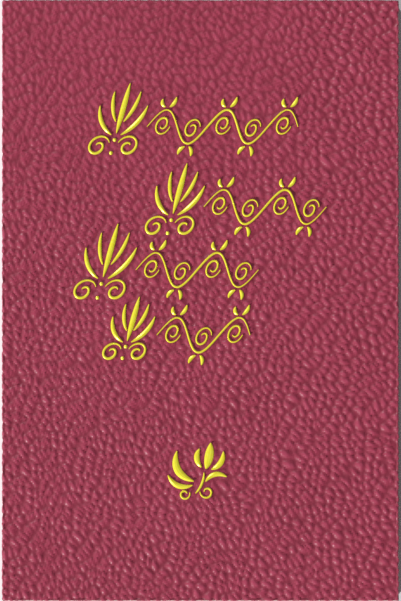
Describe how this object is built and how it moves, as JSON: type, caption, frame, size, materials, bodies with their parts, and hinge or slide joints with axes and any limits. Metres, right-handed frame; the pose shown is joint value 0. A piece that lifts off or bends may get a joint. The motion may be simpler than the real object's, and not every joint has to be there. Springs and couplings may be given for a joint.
{
  "type": "prayer book",
  "caption": "Pocket prayer book in a flexible leatherette case binding with gold scroll ornament, hinged covers and sewn leaves that fan open.",
  "frame": {"origin": "middle of the overall box, at the level of the face the closed book rests on", "axes": "+X from the spine to the fore-edge, +Y from the tail to the head, +Z from the back cover to the front cover"},
  "size_m": [0.0882, 0.1334, 0.0113],
  "materials": {
    "leatherette": "dark rose red, embossed with a diagonal leather grain, semi-matte",
    "board": "grey-brown card",
    "mull": "open-weave starched cotton",
    "endpaper": "smooth cream paper",
    "liner_paper": "brown kraft paper",
    "binding_glue": "dried flexible adhesive",
    "thread": "waxed linen thread",
    "band_cloth": "corded cotton band with stripes",
    "leaf_paper": "thin off-white book paper",
    "gold_foil": "bright yellow gold foil, raised"
  },
  "bodies": {
    "spine": {"spine_skin": "leatherette", "spine_inlay": "board", "spine_paper_liner": "liner_paper", "spine_mull": "mull", "spine_glue": "binding_glue", "sewing_thread": "thread", "head_band": "band_cloth", "tail_band": "band_cloth"},
    "front_cover": {"front_skin": "leatherette", "front_board": "board", "front_mull_flap": "mull", "front_pastedown": "endpaper", "ornament_row_1": "gold_foil", "ornament_row_2": "gold_foil", "ornament_row_3": "gold_foil", "ornament_row_4": "gold_foil", "ornament_sprig": "gold_foil"},
    "back_cover": {"back_skin": "leatherette", "back_board": "board", "back_mull_flap": "mull", "back_pastedown": "endpaper"},
    "front_flyleaf": {"front_flyleaf": "endpaper"},
    "back_flyleaf": {"back_flyleaf": "endpaper"},
    "signature_1": {"signature_1": "leaf_paper"},
    "signature_2": {"signature_2": "leaf_paper"},
    "signature_3": {"signature_3": "leaf_paper"},
    "signature_4": {"signature_4": "leaf_paper"},
    "signature_5": {"signature_5": "leaf_paper"},
    "signature_6": {"signature_6": "leaf_paper"},
    "signature_7": {"signature_7": "leaf_paper"},
    "signature_8": {"signature_8": "leaf_paper"}
  },
  "joints": [
    {"name": "front_cover_hinge", "type": "hinge", "parent": "spine", "child": "front_cover", "pos_m": [-0.04385, 0, 0.01085], "axis": [0, -1, 0], "range_deg": [0, 175]},
    {"name": "back_cover_hinge", "type": "hinge", "parent": "spine", "child": "back_cover", "pos_m": [-0.04385, 0, 0.0002], "axis": [0, 1, 0], "range_deg": [0, 175]},
    {"name": "front_flyleaf_turn", "type": "hinge", "parent": "spine", "child": "front_flyleaf", "pos_m": [-0.04385, 0, 0.01085], "axis": [0, -1, 0], "range_deg": [0, 161]},
    {"name": "signature_1_turn", "type": "hinge", "parent": "spine", "child": "signature_1", "pos_m": [-0.04385, 0, 0.01085], "axis": [0, -1, 0], "range_deg": [0, 136.5]},
    {"name": "signature_2_turn", "type": "hinge", "parent": "spine", "child": "signature_2", "pos_m": [-0.04385, 0, 0.01085], "axis": [0, -1, 0], "range_deg": [0, 112]},
    {"name": "signature_3_turn", "type": "hinge", "parent": "spine", "child": "signature_3", "pos_m": [-0.04385, 0, 0.01085], "axis": [0, -1, 0], "range_deg": [0, 87.5]},
    {"name": "signature_4_turn", "type": "hinge", "parent": "spine", "child": "signature_4", "pos_m": [-0.04385, 0, 0.01085], "axis": [0, -1, 0], "range_deg": [0, 63]},
    {"name": "back_flyleaf_turn", "type": "hinge", "parent": "spine", "child": "back_flyleaf", "pos_m": [-0.04385, 0, 0.0002], "axis": [0, 1, 0], "range_deg": [0, 161]},
    {"name": "signature_8_turn", "type": "hinge", "parent": "spine", "child": "signature_8", "pos_m": [-0.04385, 0, 0.0002], "axis": [0, 1, 0], "range_deg": [0, 136.5]},
    {"name": "signature_7_turn", "type": "hinge", "parent": "spine", "child": "signature_7", "pos_m": [-0.04385, 0, 0.0002], "axis": [0, 1, 0], "range_deg": [0, 112]},
    {"name": "signature_6_turn", "type": "hinge", "parent": "spine", "child": "signature_6", "pos_m": [-0.04385, 0, 0.0002], "axis": [0, 1, 0], "range_deg": [0, 87.5]},
    {"name": "signature_5_turn", "type": "hinge", "parent": "spine", "child": "signature_5", "pos_m": [-0.04385, 0, 0.0002], "axis": [0, 1, 0], "range_deg": [0, 63]}
  ],
  "couplings": [
    {"joint": "front_flyleaf_turn", "follows": "front_cover_hinge", "ratio": 0.92},
    {"joint": "signature_1_turn", "follows": "front_cover_hinge", "ratio": 0.78},
    {"joint": "signature_2_turn", "follows": "front_cover_hinge", "ratio": 0.64},
    {"joint": "signature_3_turn", "follows": "front_cover_hinge", "ratio": 0.5},
    {"joint": "signature_4_turn", "follows": "front_cover_hinge", "ratio": 0.36},
    {"joint": "back_flyleaf_turn", "follows": "back_cover_hinge", "ratio": 0.92},
    {"joint": "signature_8_turn", "follows": "back_cover_hinge", "ratio": 0.78},
    {"joint": "signature_7_turn", "follows": "back_cover_hinge", "ratio": 0.64},
    {"joint": "signature_6_turn", "follows": "back_cover_hinge", "ratio": 0.5},
    {"joint": "signature_5_turn", "follows": "back_cover_hinge", "ratio": 0.36}
  ]
}
